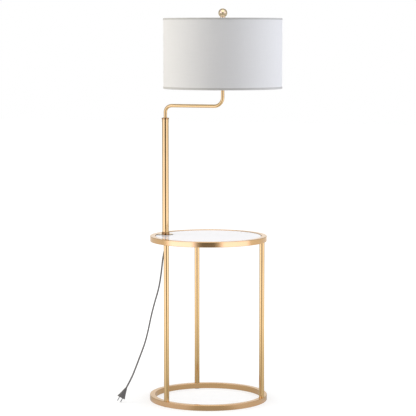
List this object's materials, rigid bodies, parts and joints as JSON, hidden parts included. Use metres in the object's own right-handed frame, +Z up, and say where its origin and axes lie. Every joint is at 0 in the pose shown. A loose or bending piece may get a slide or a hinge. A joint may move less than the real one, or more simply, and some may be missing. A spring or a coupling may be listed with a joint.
{
  "type": "floor lamp with table",
  "caption": "Gold floor lamp on a ring base with a round glass table; a pole and offset arm carry a white drum shade on a harp over the table.",
  "frame": {"origin": "on the floor under the middle of the lamp's bounding box, cord left out", "axes": "+Z up; +X from the pole over the table to the shade"},
  "size_m": [0.5766, 0.436, 1.448],
  "materials": {
    "brushed_gold_metal": "warm antique gold, lightly brushed, clear lacquer",
    "polished_brass": "bright brass plate",
    "zinc_steel": "zinc plated",
    "dark_steel": "black oxide",
    "nickel_silver": "nickel plate",
    "white_glass": "tempered glass painted white on its underside",
    "frosted_glass": "soft white frosted glass",
    "white_linen": "off-white linen weave bonded to a stiff lining",
    "white_hem_tape": "off-white self trim",
    "white_wire": "white powder coat",
    "grey_cable_vinyl": "grey flexible vinyl",
    "grey_cable_rubber": "moulded grey vinyl",
    "clear_rubber": "translucent silicone",
    "dark_nylon": "dark nylon",
    "black_phenolic": "moulded phenolic",
    "grey_card": "pressed fibre card"
  },
  "bodies": {
    "stand": {"base_ring": "brushed_gold_metal", "foot_pads": "clear_rubber", "leg_bottom_inserts": "zinc_steel", "leg_screws": "zinc_steel", "leg_top_inserts": "zinc_steel", "leg_studs": "zinc_steel", "leg_front": "brushed_gold_metal", "leg_rear_left": "brushed_gold_metal", "leg_rear_right": "brushed_gold_metal", "table_ring": "brushed_gold_metal", "glass_tabs": "brushed_gold_metal", "glass_pads": "clear_rubber", "pole_bracket": "brushed_gold_metal", "pole_tube": "brushed_gold_metal", "pole_foot_plug": "zinc_steel", "pole_foot_collar": "brushed_gold_metal", "collar_set_screw": "dark_steel", "lower_nipple": "zinc_steel", "lock_washer": "zinc_steel", "lock_nut": "zinc_steel", "cord_strain_relief": "grey_cable_rubber", "pole_top_cap": "brushed_gold_metal", "swivel_bush": "dark_nylon", "pole_lead": "grey_cable_vinyl", "power_cord": "grey_cable_vinyl", "plug_body": "grey_cable_rubber", "plug_blades": "nickel_silver"},
    "glass": {"glass_top": "white_glass"},
    "arm": {"arm_tube": "brushed_gold_metal", "arm_lead": "grey_cable_vinyl", "head_nipple": "zinc_steel", "check_ring": "brushed_gold_metal", "harp_saddle": "polished_brass", "harp": "polished_brass", "socket_cap": "polished_brass", "head_lock_nut": "zinc_steel", "socket_shell": "polished_brass", "socket_insulator": "black_phenolic", "socket_liner": "grey_card", "screw_shell": "nickel_silver", "centre_contact": "polished_brass"},
    "switch": {"switch_shaft": "zinc_steel", "switch_key": "black_phenolic"},
    "bulb": {"bulb_base": "nickel_silver", "bulb_glass": "frosted_glass"},
    "sleeve_left": {"harp_sleeve_left": "polished_brass"},
    "sleeve_right": {"harp_sleeve_right": "polished_brass"},
    "shade": {"shade_drum": "white_linen", "shade_top_hem": "white_hem_tape", "shade_bottom_hem": "white_hem_tape", "shade_top_wire": "white_wire", "shade_bottom_wire": "white_wire", "shade_spider": "white_wire"},
    "finial": {"finial": "brushed_gold_metal"}
  },
  "joints": [
    {"name": "arm_swivel", "type": "hinge", "parent": "stand", "child": "arm", "pos_m": [-0.195, 0, 1.041], "axis": [0, 0, 1], "range_deg": [-90, 90]},
    {"name": "glass_lift", "type": "slide", "parent": "stand", "child": "glass", "axis": [0, 0, 1], "range_m": [0, 0.06]},
    {"name": "shade_turn", "type": "hinge", "parent": "arm", "child": "shade", "pos_m": [0.0275, 0, 1.397], "axis": [0, 0, 1], "continuous": true},
    {"name": "finial_turn", "type": "hinge", "parent": "arm", "child": "finial", "pos_m": [0.0275, 0, 1.4], "axis": [0, 0, 1], "continuous": true},
    {"name": "bulb_turn", "type": "hinge", "parent": "arm", "child": "bulb", "pos_m": [0.0275, 0, 1.215], "axis": [0, 0, 1], "continuous": true},
    {"name": "switch_turn", "type": "hinge", "parent": "arm", "child": "switch", "pos_m": [0.0275, 0, 1.191], "axis": [1, 0, 0], "continuous": true},
    {"name": "harp_sleeve_left_slide", "type": "slide", "parent": "arm", "child": "sleeve_left", "axis": [0, 0, 1], "range_m": [0, 0.013]},
    {"name": "harp_sleeve_right_slide", "type": "slide", "parent": "arm", "child": "sleeve_right", "axis": [0, 0, 1], "range_m": [0, 0.013]}
  ]
}
